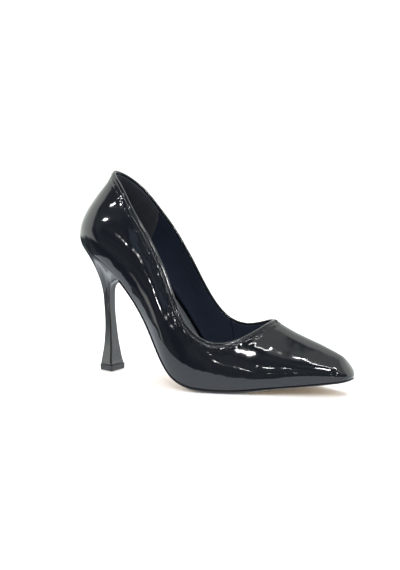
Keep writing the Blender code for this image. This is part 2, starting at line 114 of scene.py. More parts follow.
def share(t, v):
    q = smooth((t * NOSE_X - 90) / (THROAT_X - 90))
    return v * (1 - q) + np.sin(v * math.pi / 2) * q


def column(side, t, v):
    """Points of the side and nose wall at the positions t, all at the height share v."""
    t = np.asarray(t, float)
    x0 = np.minimum(t, 1.0) * NOSE_X
    lead = BACK_REACH * (1 - smooth(x0 / 50))
    x, low = x0 + lead * v, feather(x0)
    z = low + (topline[side](np.minimum(x0 + lead, THROAT_X)) - low) * share(t, v)
    u = np.minimum((z - feather(x)) / (ridge(x) - feather(x)), 1.0)
    u = np.where(x0 >= THROAT_X, share(t, v), u)
    width, reach = WIDEN[side]
    extra = width * (1 - smooth((x0 + lead - BACK_REACH) / reach)) * v ** 3
    w = smooth(x / 110)
    nose_share = smooth((x0 - 135) / 55)
    k, m = ((LEAN_SIDE[i] * (1 - w) + LEAN_FRONT[i] * w) * (1 - nose_share) + LEAN_NOSE[i] * nose_share
            for i in (0, 1))
    y = radius[side](x) * bulge(u, k, m) + extra
    out = np.stack([x, centre(x) + side * y, feather(x) + (ridge(x) - feather(x)) * u], -1)
    nose = t > 1
    if nose.any():
        a, un = (t[nose] - 1) * math.pi / 2, u[nose]
        rad = polar(a, radius[side](NOSE_X), TOE_ROUND)
        r = rad * bulge(un, k[nose], m[nose])
        xn, low = NOSE_X + r * np.sin(a), feather(NOSE_X + rad * np.sin(a))
        out[nose] = np.stack([xn, centre(NOSE_X) + side * r * np.cos(a), low + (ridge(xn) - low) * un], -1)
    return out


def bottom(side, t, inset):
    """Points of the bottom surface at the positions t, this far inside the feather line."""
    t = np.asarray(t, float)
    x = np.clip(t, 0, 1) * NOSE_X
    y = centre(x) + side * (radius[side](x) - inset)
    for mask, middle, along, a in ((t < 0, 0.0, -BACK_R, -t * math.pi / 2),
                                   (t > 1, NOSE_X, TOE_ROUND, (t - 1) * math.pi / 2)):
        r = polar(a, radius[side](middle), abs(along)) - inset
        x = np.where(mask, middle + math.copysign(1, along) * r * np.sin(a), x)
        y = np.where(mask, centre(middle) + side * r * np.cos(a), y)
    return np.stack([x, y, feather(x)], -1)


def feather_radius(side, t):
    t = np.asarray(t, float)
    r = radius[side](np.clip(t, 0, 1) * NOSE_X)
    r = np.where(t < 0, polar(-t * math.pi / 2, radius[side](0.0), BACK_R), r)
    return np.where(t > 1, polar((t - 1) * math.pi / 2, radius[side](NOSE_X), TOE_ROUND), r)


def back_column(side, t, v):
    """The same round the back, t from -1 at the centre to 0 at the side."""
    a, s = -t * math.pi / 2, 1 + t
    reach = BACK_REACH * s * s
    top = np.array([reach, side * BACK_HALF * s, float(topline[side](reach))])
    end = np.array([BACK_REACH, side * BACK_HALF, float(topline[side](BACK_REACH))])
    low, foot = bottom(side, t, 0), bottom(side, 0.0, 0)
    over = column(side, 0.0, v) - foot - (end - foot) * v
    belly = 4 * BACK_BELLY * v * (1 - v) * (1.21 - 0.89 * v)
    ca, sa = math.cos(a), math.sin(a)
    out = belly * sa * sa + side * over[1] * ca * ca
    return low + (top - low) * v + np.array([-sa * out + over[0] * ca * ca, side * ca * out, 0])


KNOTS = (-130, -110, -90, -70, -52, -32, -16, 0, 16, 32, 52, 70, 90, 110, 130)
rounds = {}


def around(v):
    """One smooth curve round the back at this height share, through columns from both sides."""
    if v not in rounds:
        points = []
        for k in KNOTS:
            side, d = (-1 if k < 0 else 1), abs(k)
            points.append(back_column(side, d / 40 - 1, v) if d < 40
                          else column(side, (d - 40) / NOSE_X, v))
        rounds[v] = [spline(KNOTS, [p[i] for p in points]) for i in range(3)]
    return rounds[v]


def wall(side, t, v):
    """Points of the last surface: t is -1 to 0 round the back, 0 to 1 along, 1 to 2 round the nose."""
    t = np.asarray(t, float)
    x0 = t * NOSE_X
    p = side * np.where(t < 0, (t + 1) * 40, 40 + np.minimum(x0, 90))
    curve = np.stack([c(p) for c in around(v)], -1)
    w = smooth((x0 - 50) / 20)[..., None]
    return curve * (1 - w) + column(side, np.maximum(t, 0), v) * w


def unit(a):
    return a / np.maximum(np.linalg.norm(a, axis=-1, keepdims=True), 1e-12)


def wall_normal(side, t, v):
    e = 1e-4
    t = np.asarray(t, float)
    tt = np.where((t > 1) & (v > 0.995), 1.0, t)
    dt = wall(side, np.minimum(tt + e, 2.0), v) - wall(side, np.maximum(tt - e, -1.0), v)
    dv = wall(side, tt, min(v + e, 1.0)) - wall(side, tt, max(v - e, 0.0))
    return unit(-side * np.cross(dt, dv))


def down(x):
    slope = (feather(x + 0.01) - feather(x - 0.01)) / 0.02
    return unit(np.stack([slope, np.zeros_like(slope), -np.ones_like(slope)], -1))


# ---------------------------------------------------------------- mesh helpers
def to_row(points):
    """Shoe millimetres to the row frame in metres."""
    return (np.asarray(points, float) - (ORIGIN_X, ORIGIN_Y, 0)) * MM


def weld(points, faces, digits=3):
    """Points on the same spot (to a micrometre) become one, and collapsed faces are dropped."""
    _, first, index = np.unique(np.round(points, digits), axis=0, return_index=True, return_inverse=True)
    index = index.reshape(-1)
    out = []
    for f in faces:
        g = [int(index[i]) for i in f]
        g = [k for i, k in enumerate(g) if k != g[i - 1]]
        if len(set(g)) >= 3:
            out.append(g)
    return points[first], out


def volume(points, faces):
    total = 0.0
    for f in faces:
        for i in range(1, len(f) - 1):
            total += float(np.dot(points[f[0]], np.cross(points[f[i]], points[f[i + 1]])))
    return total


def make(name, points, faces):
    """A smooth-shaded object from points in shoe millimetres, with its faces turned outwards."""
    points, faces = weld(np.asarray(points, float), faces)
    if volume(points, faces) < 0:
        faces = [f[::-1] for f in faces]
    mesh = bpy.data.meshes.new(name)
    mesh.from_pydata(to_row(points).tolist(), [], faces)
    mesh.validate()
    mesh.polygons.foreach_set("use_smooth", [True] * len(mesh.polygons))
    obj = bpy.data.objects.new(name, mesh)
    bpy.context.scene.collection.objects.link(obj)
    return obj


def quads(rows, columns, start, turn, closed=False):
    out = []
    for i in range(columns if closed else columns - 1):
        for j in range(rows - 1):
            a = start + i * rows + j
            d = start + ((i + 1) % columns) * rows + j
            out.append((a, d, d + 1, a + 1) if turn else (a + 1, d + 1, d, a))
    return out


# ---------------------------------------------------------------- the topline
def side_positions(step_back, step_side):
    """Positions from the back centre to the throat, closer together towards the throat."""
    back = np.linspace(-1, 0, step_back, endpoint=False)
    q = np.linspace(1, 0, step_side)
    return np.concatenate([back, (1 - q ** 1.7) * THROAT_T])


def rim_samples():
    """The topline as a closed loop: points, unit tangents, leather normals, directions out of the edge."""
    ts = side_positions(120, 700)
    left, right = wall(-1, ts, 1.0), wall(1, ts, 1.0)
    nl, nr = wall_normal(-1, ts, 1.0), wall_normal(1, ts, 1.0)
    nl[-1] = nr[-1] = unit(nl[-1] + nr[-1])
    nl[0] = nr[0] = unit(nl[0] + nr[0])
    p = np.concatenate([left[::-1], right[1:-1]])
    n = np.concatenate([nl[::-1], nr[1:-1]])
    tangent = unit(np.roll(p, -1, 0) - np.roll(p, 1, 0))
    out = unit(np.cross(n, tangent))
    back = len(ts) - 1
    if out[back, 2] < 0:
        out = -out
    along = np.concatenate([[0], np.cumsum(np.linalg.norm(np.diff(p, axis=0), axis=1))])
    return p, tangent, n, out, along


RIM_P, RIM_T, RIM_N, RIM_OUT, RIM_S = rim_samples()
RIM_TREE = kdtree.KDTree(len(RIM_P))
for index, point in enumerate(RIM_P):
    RIM_TREE.insert(Vector(point), index)
RIM_TREE.balance()


def back_roll(t):
    """1 at the back centre, 0 from a little way along each side."""
    return 1 - smooth((np.asarray(t, float) + 1) / 0.9)


def near_rim(points, reach=14.0):
    """Distance from the topline, place along it and the direction out of it, for each point."""
    d, s = np.full(len(points), 99.0), np.zeros(len(points))
    out = np.zeros((len(points), 3))
    for i, p in enumerate(points):
        _, k, gap = RIM_TREE.find(Vector(p))
        if gap < reach:
            off = p - RIM_P[k]
            along = float(off @ RIM_T[k])
            d[i] = math.sqrt(max(float(off @ off) - along * along, 0.0))
            s[i], out[i] = RIM_S[k] + along, RIM_OUT[k]
    return d, s, out


def wave(points, scale, seed=0.0):
    """Smooth noise at the points, about -1 to 1."""
    return np.array([noise.noise(Vector((p[0] * scale + seed, p[1] * scale, p[2] * scale))) for p in points])


# ---------------------------------------------------------------- the upper
EDGE_DROP = 0.8       # how far the fold's middle sits below the topline
FOLD = 0.95           # radius of the folded edge
LEATHER = 1.1
TURN_IN = 5.2         # depth of the folded allowance
STITCH_D = 2.3        # stitch row, from the topline


def edge_noise(s, d, along, across, seed):
    """Smooth noise laid out along and across the topline."""
    return np.array([noise.noise(Vector((float(a) * along, float(b) * across, seed))) for a, b in zip(s, d)])


def fold_relief(d, s):
    """How far the leather stands off the last near the edge: fold, stitch groove, allowance, puckers."""
    near = 1 - smooth(d / 9)
    h = 0.2 * (1 - smooth((d - TURN_IN) / 1.0))
    h -= 0.34 * np.exp(-((d - STITCH_D) / 0.5) ** 2)
    h += 0.13 * np.exp(-((d - 0.9) / 0.6) ** 2)
    beat = np.sin(s * 2 * math.pi / 2.9 + 1.7 * np.sin(s * 0.21)) * np.exp(-((d - STITCH_D) / 0.9) ** 2)
    h += 0.05 * beat
    h += 0.42 * edge_noise(s, d, 0.28, 0.22, 3.1) * np.exp(-((d - 4.6) / 2.1) ** 2)
    h += 0.45 * edge_noise(s, d, 0.085, 0.07, 9.7) * np.exp(-((d - 9.0) / 5.0) ** 2) * near ** 0.2
    return h


def body_relief(points):
    """Very slight unevenness of lasted leather."""
    return 0.2 * wave(points, 0.045, 4.0) + 0.11 * wave(points, 0.1, 11.0) + 0.022 * wave(points, 0.27, 17.0)


def wall_grid(side, ts, vs):
    """Points and normals [t, v, 3] on the last surface."""
    p = np.stack([wall(side, ts, v) for v in vs], 1)
    n = np.stack([wall_normal(side, ts, v) for v in vs], 1)
    return p, n


def pinned(p, n, other_p, other_n, ts, vs):
    """Makes both sides agree along the back, the ridge and the nose."""
    for i, t in enumerate(ts):
        if abs(t + 1) < 1e-9 or abs(t - 2) < 1e-9:
            n[i] = other_n[i] = unit(n[i] + other_n[i])
            p[i] = other_p[i] = (p[i] + other_p[i]) / 2
        elif vs[-1] == 1.0 and t >= THROAT_T - 1e-9:
            n[i, -1] = other_n[i, -1] = unit(n[i, -1] + other_n[i, -1])
            p[i, -1] = other_p[i, -1] = (p[i, -1] + other_p[i, -1]) / 2


def margin(side, t):
    return np.minimum(11.0, 0.55 * feather_radius(side, t))


FOOT_ROWS = 7         # rows that foot_rows makes


def foot_rows(side, ts, corner_p, corner_n):
    """The rounded feather edge and the lasting margin under it, from the inside outwards."""
    rows_p, rows_n = [], []
    m = margin(side, ts)
    for f in (1.0, 0.6, 0.25):
        p = bottom(side, ts, f * m)
        rows_p.append(p)
        rows_n.append(down(p[:, 0]))
    a = bottom(side, ts, 1.3)
    corner = bottom(side, ts, 0)
    na = down(a[:, 0])
    for s in (0.0, 0.25, 0.5, 0.75):
        rows_p.append((1 - s) ** 2 * a + 2 * s * (1 - s) * corner + s * s * corner_p)
        rows_n.append(unit(na * (1 - s) + corner_n * s))
    return np.stack(rows_p, 1), np.stack(rows_n, 1)


def upper_rows(fine):
    low = np.linspace(0.016, 0.86, 40 if fine else 22)
    high = np.linspace(0.86, 1.0, 30 if fine else 16)[1:]
    return np.concatenate([low, high])


def upper_columns(fine):
    back_side = side_positions(34, 190) if fine else side_positions(18, 90)
    q = np.linspace(0, 1, 70 if fine else 36)[1:]
    front = THROAT_T + (1 - THROAT_T) * q ** 1.5
    return np.concatenate([back_side, front, np.linspace(1, 2, 26 if fine else 14)[1:]])


def upper_surface(fine):
    """The positions t, and for each side of the upper its points and normals [t, row, 3]."""
    ts, vs = upper_columns(fine), upper_rows(fine)
    grids = {s: wall_grid(s, ts, vs) for s in (-1, 1)}
    pinned(*grids[-1], *grids[1], ts, vs)
    whole = {}
    for s, (p, n) in grids.items():
        fp, fn = foot_rows(s, ts, p[:, 0], n[:, 0])
        whole[s] = np.concatenate([fp, p], 1), np.concatenate([fn, n], 1)
    pinned(*whole[-1], *whole[1], ts, [0])
    return ts, whole


def settle(p, drop, reach=9.0):
    """Draws the edge in by drop, fading out over reach; returns points, distance and place."""
    shape = p.shape
    flat = p.reshape(-1, 3)
    d, s, out = near_rim(flat)
    moved = flat - out * (drop * (1 - smooth(d / reach)))[:, None]
    return moved.reshape(shape), d.reshape(shape[:2]), s.reshape(shape[:2])


def relax_nose(obj):
    """Evens out the toe cap where the side walls turn into the nose."""
    mesh = obj.data
    count = len(mesh.vertices)
    co = np.empty(count * 3)
    mesh.vertices.foreach_get("co", co)
    co = co.reshape(-1, 3)
    ends = np.empty(len(mesh.edges) * 2, int)
    mesh.edges.foreach_get("vertices", ends)
    a, b = ends[::2], ends[1::2]
    degree = np.bincount(ends, minlength=count)[:, None]
    x, z = co[:, 0] / MM + ORIGIN_X, co[:, 2] / MM
    w = smooth((x - NOSE_X + 16) / 10) * smooth((NOSE_X + 7.5 - x) / 3) * smooth((z - feather(x) - 3) / 4)
    w = w[:, None] * 0.7
    for _ in range(110):
        for step in (0.75, -0.765):
            total = np.zeros_like(co)
            for i in range(3):
                total[:, i] = np.bincount(a, co[b, i], count) + np.bincount(b, co[a, i], count)
            co += w * step * (total / degree - co)
    mesh.vertices.foreach_set("co", co.ravel())
    mesh.update()
    return obj


def build_upper():
    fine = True
    ts, whole = upper_surface(fine)
    throat = int(np.argmin(abs(ts - THROAT_T)))
    points, faces = [], []
    rows = whole[-1][0].shape[1]
    roll = 7
    for side in (-1, 1):
        p, n = whole[side]
        moved, d, s = settle(p, EDGE_DROP)
        flat = moved.reshape(-1, 3)
        h = fold_relief(d.ravel(), s.ravel()) + body_relief(flat)
        foot = np.ones(rows)
        foot[:FOOT_ROWS] = 0
        foot[FOOT_ROWS:FOOT_ROWS + 6] = np.linspace(0, 1, 6)
        h = h.reshape(d.shape) * foot[None, :]
        roll_here = back_roll(ts)[:, None]
        depth = -LEATHER - (2 * FOLD - LEATHER) * (1 - smooth((d - TURN_IN) / 0.8))
        h = h + 0.95 * roll_here * (1 - smooth((d - 2.2) / 2.6))
        outer = moved + n * h[..., None]
        inner = moved + n * depth[..., None]
        inner[:, :FOOT_ROWS] = moved[:, :FOOT_ROWS] - n[:, :FOOT_ROWS] * LEATHER
        start = len(points)
        points += outer.reshape(-1, 3).tolist()
        faces += quads(rows, len(ts), start, side < 0)
        inner_start = len(points)
        points += inner.reshape(-1, 3).tolist()
        faces += quads(rows, len(ts), inner_start, side > 0)
        roll_start = len(points)
        for i in range(throat + 1):
            _, k, _ = RIM_TREE.find(Vector(p[i, -1]))
            out = RIM_OUT[k]
            top, base = outer[i, -1], inner[i, -1]
            mid, half = (top + base) / 2, (top - base) / 2
            r = np.linalg.norm(half)
            rise = r * 0.9 + 0.25 * back_roll(ts[i])
            points += [(mid + half * math.cos(a) + out * rise * math.sin(a)).tolist()
                       for a in np.linspace(0, math.pi, roll)]
        faces += quads(roll, throat + 1, roll_start, side < 0)
        for i in range(len(ts) - 1):
            a, b = start + i * rows, start + (i + 1) * rows
            c, e = inner_start + i * rows, inner_start + (i + 1) * rows
            faces.append((a, c, e, b) if side < 0 else (b, e, c, a))
    return relax_nose(make("upper_skin", points, faces))


# ---------------------------------------------------------------- linings and the sock
LINING_IN, LINING_OUT = 2.62, 1.98
QUARTER_FRONT, GRIP_FRONT = 94.0, 31.0


def lining_shell(name, spans, v_low, slant=0.0, layer=(LINING_OUT, LINING_IN)):
    """A lining sheet over the spans (side, positions), its top edge under the fold.

    slant leans its front end; layer is how deep its two faces lie inside the last surface."""
    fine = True
    points, faces = [], []
    vs = np.concatenate([np.linspace(v_low, 0.86, 22 if fine else 12),
                         np.linspace(0.86, 1.0, 12 if fine else 7)[1:]])
    for side, ts in spans:
        p, n = wall_grid(side, ts, vs)
        if slant:
            for i, t in enumerate(ts):
                if t > -0.4:
                    lean = slant * smooth((t + 0.4) / (ts[-1] + 0.4))
                    for j, v in enumerate(vs):
                        q = wall(side, t - lean * (1 - v), v)
                        p[i, j], n[i, j] = q, wall_normal(side, t - lean * (1 - v), v)
        for i, t in enumerate(ts):
            if abs(t + 1) < 1e-9:
                n[i] = unit(n[i] * (1, 0, 1))
            elif t >= THROAT_T - 1e-9:
                n[i, -1] = unit(n[i, -1] + wall_normal(-side, t, vs[-1]))
        moved, d, _ = settle(p, 1.35, 12.0)
        ripple = 0.12 * wave(moved.reshape(-1, 3), 0.09, 21.0).reshape(d.shape)
        rim = (1 - smooth(d / 1.2)) * 0.22
        start = len(points)
        outer = moved - n * (layer[0] - ripple * 0.3 + rim)[..., None]
        inner = moved - n * (layer[1] - ripple * 0.3 - rim)[..., None]
        rows = len(vs)
        ring = np.concatenate([outer, inner[:, ::-1]], 1)
        points += ring.reshape(-1, 3).tolist()
        per = 2 * rows
        for i in range(len(ts) - 1):
            for j in range(per):
                a, b = start + i * per + j, start + i * per + (j + 1) % per
                c, e = b + per, a + per
                faces.append((a, b, c, e) if side > 0 else (a, e, c, b))
        for i, flip in ((0, False), (len(ts) - 1, True)):
            if abs(ts[i] + 1) < 1e-9 or ts[i] >= THROAT_T - 1e-9:
                continue
            a = start + i * per
            for j in range(rows - 1):
                face = (a + j, a + j + 1, a + per - 2 - j, a + per - 1 - j)
                faces.append(face[::-1] if flip == (side > 0) else face)
    return make(name, points, faces)


def build_linings():
    k = 1
    t_seam = QUARTER_FRONT / NOSE_X
    grip_ts = np.concatenate([np.linspace(-1, 0, int(24 * k), endpoint=False),
                              np.linspace(0, GRIP_FRONT / NOSE_X, int(24 * k))])
    grip = lining_shell("grip_lining_skin", [(-1, grip_ts), (1, grip_ts)], 0.10, 0.13, (2.25, 2.95))
    out = [(grip, "heel_grip_lining", "heel_grip_suede")]
    side_ts = np.linspace(2 / NOSE_X, t_seam - 0.002, int(70 * k))
    for side, label in ((-1, "lateral"), (1, "medial")):
        s = lining_shell("quarter_lining_skin_" + label, [(side, side_ts)], 0.10, 0.0, (1.95, 2.4))
        out.append((s, "quarter_lining_" + label, "lining_leather"))
    front = np.concatenate([np.linspace(t_seam, THROAT_T, int(60 * k)),
                            THROAT_T + (1 - THROAT_T) * np.linspace(0, 1, int(24 * k))[1:] ** 1.4,
                            np.linspace(1, 2, int(14 * k))[1:]])
    vamp = lining_shell("vamp_lining_skin", [(-1, front), (1, front)], 0.14)
    out.append((vamp, "vamp_lining", "lining_leather"))
    return out


NO_END = 99.0         # stands for the distance to an end that isn't there


def pad_layer(name, first, last, inset, low, high, lift=None, crown=0.0, edge=0.3, n_along=110, n_across=15):
    """A layer on the bottom, between two positions, low and high mm above the feather surface.

    A layer that starts at the back (-1) or ends at the toe (2) has no free end there."""
    ts = first + (last - first) * np.linspace(0, 1, n_along)
    sides = [bottom(s, ts, inset) for s in (-1, 1)]
    f = 0.5 - 0.5 * np.cos(np.linspace(0, math.pi, n_across))
    mid = sides[0][:, None] + (sides[1] - sides[0])[:, None] * f[None, :, None]
    x = mid[..., 0]
    up = -down(x.ravel()).reshape(mid.shape)
    width = np.linalg.norm(sides[1] - sides[0], axis=-1)[:, None]
    in_from_edge = np.minimum(f, 1 - f)[None, :] * width
    to_first = np.abs(ts - first)[:, None] * NOSE_X if first > -1 else NO_END
    to_last = np.abs(last - ts)[:, None] * NOSE_X if last < 2 else NO_END
    near = np.minimum(in_from_edge, np.minimum(to_first, to_last))
    extra = (lift(x) if lift else 0.0) + crown * smooth(near / 9.0)
    rounding = edge * (1 - np.sqrt(np.clip(1 - (1 - np.clip(near / (2.2 * edge), 0, 1)) ** 2, 0, 1)))
    top = mid + up * (high + extra - rounding)[..., None]
    base = mid + up * (low + (extra if lift else 0) + 0.3 * rounding)[..., None]
    points = np.concatenate([top.reshape(-1, 3), base.reshape(-1, 3)])
    n, m = n_along, n_across
    faces = []
    for i in range(n - 1):
        for j in range(m - 1):
            a = i * m + j
            faces.append((a, a + 1, a + m + 1, a + m))
            b = n * m + a
            faces.append((b, b + m, b + m + 1, b + 1))
    for i in range(n - 1):
        a = i * m
        faces.append((a, a + m, n * m + a + m, n * m + a))
        a = i * m + m - 1
        faces.append((a + m, a, n * m + a, n * m + a + m))
    for j in range(m - 1):
        faces.append((j + 1, j, n * m + j, n * m + j + 1))
        a = (n - 1) * m + j
        faces.append((a, a + 1, n * m + a + 1, n * m + a))
    return make(name, points, faces)


def sock_lift(x):
    heel = 2.0 * smooth((38 - x) / 7)
    ball = 1.4 * smooth((x - 74) / 8) * smooth((150 - x) / 8)
    return np.maximum(heel, ball)


# ---------------------------------------------------------------- the outsole
SOLE_T = 1.4
EDGE_PAINT = 2.2      # width of the painted edge


def sole_tread(x):
    return SOLE_T + 1.1 * smooth((x - 84) / 16) * smooth((150 - x) / 22)


def build_outsole():
    """A thin sole with a rounded painted edge; its rear end stops at the heel's breast."""
    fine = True
    q = np.linspace(0, 1, 150 if fine else 80)
    first = 20.9 / NOSE_X
    ts = np.concatenate([first + (1 - first) * q, np.linspace(1, 2, 26 if fine else 14)[1:]])
    profile = [(6.0, -0.2, 0), (1.4, -0.2, 0), (-0.05, -0.2, 0), (-0.3, -0.32, 1), (-0.36, -0.6, 1),
               (-0.3, -0.85, 1), (-0.1, -1.08, 1), (0.25, -1.22, 1), (0.6, -1.3, 1), (1.1, -1.36, 1),
               (2.2, -1.4, 1), (5.0, -1.4, 1)]
    points, faces, seam = [], [], []
    sections = {}
    for side in (-1, 1):
        section = []
        radius_at = feather_radius(side, ts)
        for inset, level, scaled in profile:
            ins = np.minimum(inset, radius_at * 0.72)
            p = bottom(side, ts, ins)
            dn = down(p[:, 0])
            depth = -level / SOLE_T * sole_tread(p[:, 0]) if scaled else np.full(len(ts), -level)
            section.append(p + dn * depth[:, None])
        sec = np.stack(section, 1)
        sec[..., 2] = np.maximum(sec[..., 2], 0.0)
        sections[side] = sec
    n = len(profile)
    for side in (-1, 1):
        start = len(points)
        points += sections[side].reshape(-1, 3).tolist()
        faces += quads(n, len(ts), start, side < 0)
        sections[side, "start"] = start
    a, b = sections[-1, "start"], sections[1, "start"]
    cross = 7
    for level, flip in ((0, True), (n - 1, False)):
        grid = []
        for i in range(len(ts)):
            p, r = sections[-1][i, level], sections[1][i, level]
            row = [a + i * n + level]
            for f in np.linspace(0, 1, cross)[1:-1]:
                row.append(len(points))
                points.append((p + (r - p) * f).tolist())
            row.append(b + i * n + level)
            grid.append(row)
        for i in range(len(ts) - 1):
            for j in range(cross - 1):
                f = (grid[i][j], grid[i][j + 1], grid[i + 1][j + 1], grid[i + 1][j])
                faces.append(f if flip else f[::-1])
        seam.append(grid[0])
    end = [a + j for j in range(n)] + seam[1][1:-1] + [b + n - 1 - j for j in range(n)] + seam[0][1:-1][::-1]
    centre_index = len(points)
    points.append(np.mean([points[i] for i in end], 0).tolist())
    for i in range(len(end)):
        faces.append((end[i], end[(i + 1) % len(end)], centre_index))
    return make("outsole_skin", points, faces)


# ---------------------------------------------------------------- the heel
TOP_PIECE_T, HEEL_BASE_Z = 4.7, 5.0
STEM_Z = [5, 10, 15, 20, 27, 35, 45, 55]
STEM_BREAST = [0.4, -0.4, -0.9, -1.4, -2.2, -2.8, -3.7, -4.4]
STEM_BREAST_HALF = [9.0, 7.7, 6.8, 6.0, 5.2, 4.6, 4.2, 4.6]
STEM_REAR = [-12.8, -12.3, -11.6, -11.0, -10.4, -10.1, -10.4, -11.1]
STEM_REAR_HALF = [5.9, 5.0, 4.4, 3.9, 3.5, 3.2, 3.0, 3.2]
STEM_CORNER = [1.2, 1.2, 1.2, 1.2, 1.1, 1.1, 1.1, 1.2]
SWELL = [1.75, 1.75, 1.8, 1.85, 1.95, 2.1, 2.3, 2.6, 2.9, 3.2, 3.8, 4.9, 6.0, 6.5, 6.8, 7.0]
stem = [spline(STEM_Z, c) for c in (STEM_BREAST, STEM_BREAST_HALF, STEM_REAR, STEM_REAR_HALF, STEM_CORNER)]


def stem_ring(kappa, z):
    """A point of the heel's four-sided section: kappa runs from the back centre to the breast centre."""
    xf, wb, xb, wr, r = [float(c(z)) for c in stem]
    rear, front = (xb + r, wr - r), (xf - r, wb - r)

    def arc(c, angle):
        a = math.radians(angle)
        return c[0] + r * math.cos(a), c[1] - r * math.sin(a)
    if kappa <= 2:
        return xb, rear[1] * kappa / 2
    if kappa <= 5:
        return arc(rear, -180 + (kappa - 2) * 30)
    if kappa <= 10:
        p, q, f = arc(rear, -90), arc(front, -90), (kappa - 5) / 5
        return p[0] + (q[0] - p[0]) * f, p[1] + (q[1] - p[1]) * f
    if kappa <= 12:
        return arc(front, -90 + (kappa - 10) * 45)
    return xf, front[1] * (15 - kappa) / 3


def seat_ring(side, kappa):
    if kappa <= 8:
        t = -1 + kappa / 8
    else:
        t = float(np.interp(kappa, [8, 9, 10, 11, 12], [0, 6, 12, 17, BREAST_X])) / NOSE_X
    p = bottom(side, t, 0.1 + 0.5 * smooth((t * NOSE_X - 10) / 10))
    if kappa > 12:
        p = p * (1, (15 - kappa) / 3, 1)
    return p + down(p[0]) * 0.3


swell = spline(range(16), SWELL)


def build_heel():
    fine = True
    ks = np.concatenate([np.linspace(0, 2, 5)[:-1],
                         np.linspace(2, 5, 13 if fine else 7)[:-1],
                         np.linspace(5, 10, 15 if fine else 9)[:-1],
                         np.linspace(10, 12, 9 if fine else 5)[:-1],
                         np.linspace(12, 15, 7)])
    zs = np.concatenate([[HEEL_BASE_Z, HEEL_BASE_Z + 0.25], np.linspace(5.6, 55, 40 if fine else 20)])
    ws = np.concatenate([np.linspace(0, 0.8, 24 if fine else 12)[1:],
                         np.linspace(0.8, 1, 22 if fine else 10)[1:]])
    columns = []
    for side in (-1, 1):
        half = []
        for k in ks:
            col = []
            for i, z in enumerate(zs):
                x, y = stem_ring(k, z)
                tight = 0.98 if i == 0 else 1.0
                col.append(((x + 6) * tight - 6, side * y * tight, z))
            base, top = np.array(col[-1]), seat_ring(side, k)
            s = float(swell(k))
            for w in ws:
                q = base + (top - base) * w ** s
                col.append((q[0], q[1], base[2] + (top[2] - base[2]) * w))
            inward = np.zeros(3)
            if k < 12:
                inward = unit(np.array([-2.0 if k < 8 else top[0], 0, 0]) - top * (1, 1, 0))
            lip = np.array(col[-1])
            col[-1] = tuple(lip + inward * 0.22)
            col[-2] = tuple(np.array(col[-2]) * 0.5 + (lip + down(lip[0]) * 0.25) * 0.5)
            half.append(col)
        columns.append(half)
    loop = columns[0] + columns[1][1:-1][::-1]
    n, rows = len(loop), len(loop[0])
    points = [p for c in loop for p in c]
    faces = []
    for i in range(n):
        for j in range(rows - 1):
            a, b = i * rows + j, (i + 1) % n * rows + j
            faces.append((a, b, b + 1, a + 1))
    m = len(ks) - 1
    for level, flip in ((0, False), (rows - 1, True)):
        for i in range(m):
            f = tuple(c * rows + level for c in (i, i + 1, -(i + 1) % n, -i % n))
            faces.append(f if flip else f[::-1])
    return make("heel_skin", points, faces)


def rounded(points):
    """A closed outline with its corners cut back twice."""
    ring = [np.array(p, float) for p in points]
    for _ in range(2):
        out = []
        for i, p in enumerate(ring):
            q = ring[(i + 1) % len(ring)]
            out += [p * 0.8 + q * 0.2, p * 0.2 + q * 0.8]
        ring = out
    return ring


def build_top_piece():
    half = [(-13.3, -5.2), (-12.9, -5.9), (-12.2, -6.2), (-4, -8.2), (0.2, -9.3), (0.8, -9.0), (1.1, -8.2)]
    ring = rounded(half + [(x, -y) for x, y in reversed(half)])
    levels = [(0, 0.955), (0.18, 0.975), (0.5, 0.984), (3.9, 1.0), (4.45, 1.0), (4.62, 0.992),
              (TOP_PIECE_T, 0.975)]
    points, faces = [], []
    n = len(ring)
    for z, k in levels:
        points += [((p[0] + 6.1) * k - 6.1, p[1] * k, z) for p in ring]
    for j in range(len(levels) - 1):
        for i in range(n):
            a, b = j * n + i, j * n + (i + 1) % n
            faces.append((a, b, b + n, a + n))
    faces.append(tuple(range(n))[::-1])
    faces.append(tuple(range((len(levels) - 1) * n, len(levels) * n)))
    return make("top_piece_skin", points, faces)


# ---------------------------------------------------------------- stitching
def on_surface(tree, start, normal):
    hit, n, _, _ = tree.find_nearest(Vector(start + normal * 1.5))
    return np.array(hit), np.array(n)


def stitch_run(tree, centre_line, normals, length, gap, radius, sink, points, faces):
    """Short thread loops along a line on a surface, each dipping in at both ends."""
    line = np.asarray(centre_line)
    along = np.concatenate([[0], np.cumsum(np.linalg.norm(np.diff(line, axis=0), axis=1))])
    count = int(along[-1] // (length + gap))
    pitch = along[-1] / count
    for c in range(count):
        s0 = c * pitch + gap / 2
        rings = []
        for f in (0.0, 0.12, 0.35, 0.65, 0.88, 1.0):
            s = s0 + f * (pitch - gap)
            p = np.array([np.interp(s, along, line[:, i]) for i in range(3)])
            q = np.array([np.interp(s + 0.2, along, line[:, i]) for i in range(3)])
            g = unit(np.array([np.interp(s, along, normals[:, i]) for i in range(3)]))
            p, n = on_surface(tree, p, g)
            if n @ g < 0:
                n = -n
            forward = unit(q - p - n * float((q - p) @ n))
            across = np.cross(n, forward)
            lift = (math.sin(math.pi * f) ** 0.5 if 0 < f < 1 else 0) * (radius + sink) - sink
            r = radius * (1.0 if 0 < f < 1 else 0.55)
            rings.append([p + n * (lift + r * 0.8 * math.sin(a)) + across * r * math.cos(a)
                          for a in np.linspace(0, 2 * math.pi, 7)[:-1]])
        start = len(points)
        for ring in rings:
            points += [q.tolist() for q in ring]
        for i in range(5):
            for j in range(6):
                a, b = start + i * 6 + j, start + i * 6 + (j + 1) % 6
                faces.append((a, b, b + 6, a + 6))
        faces.append(tuple(start + j for j in range(6))[::-1])
        faces.append(tuple(start + 30 + j for j in range(6)))


